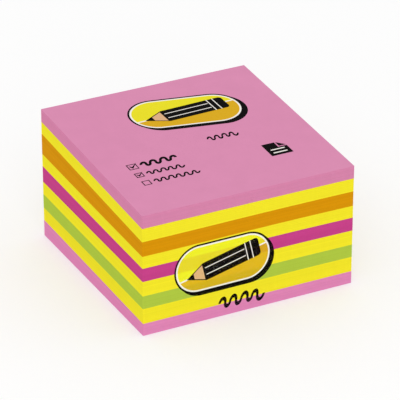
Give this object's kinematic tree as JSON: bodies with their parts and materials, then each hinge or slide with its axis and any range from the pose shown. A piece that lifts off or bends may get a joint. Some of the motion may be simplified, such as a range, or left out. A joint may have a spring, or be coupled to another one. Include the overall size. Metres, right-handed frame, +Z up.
{
  "type": "sticky note pad",
  "caption": "Square cube of sticky notes in bands of pink, yellow, orange, magenta and green paper, standing flat on a desk, with notes to peel off the top.",
  "frame": {"origin": "middle of the underside", "axes": "+Z up through the stack, +Y towards the sheets' glued edge, -Y towards the front, +X to the right for a writer at the front"},
  "size_m": [0.076, 0.076, 0.0473],
  "materials": {
    "pink_paper": "matte uncoated paper",
    "yellow_paper": "matte uncoated paper",
    "orange_paper": "matte uncoated paper",
    "magenta_paper": "matte uncoated paper",
    "green_paper": "matte uncoated paper"
  },
  "bodies": {
    "root": {"pink_sheets_top": "pink_paper", "yellow_sheets_1": "yellow_paper", "orange_sheets": "orange_paper", "yellow_sheets_2": "yellow_paper", "magenta_sheets": "magenta_paper", "yellow_sheets_3": "yellow_paper", "green_sheets": "green_paper", "yellow_sheets_4": "yellow_paper", "pink_sheets_bottom": "pink_paper"}
  },
  "joints": []
}
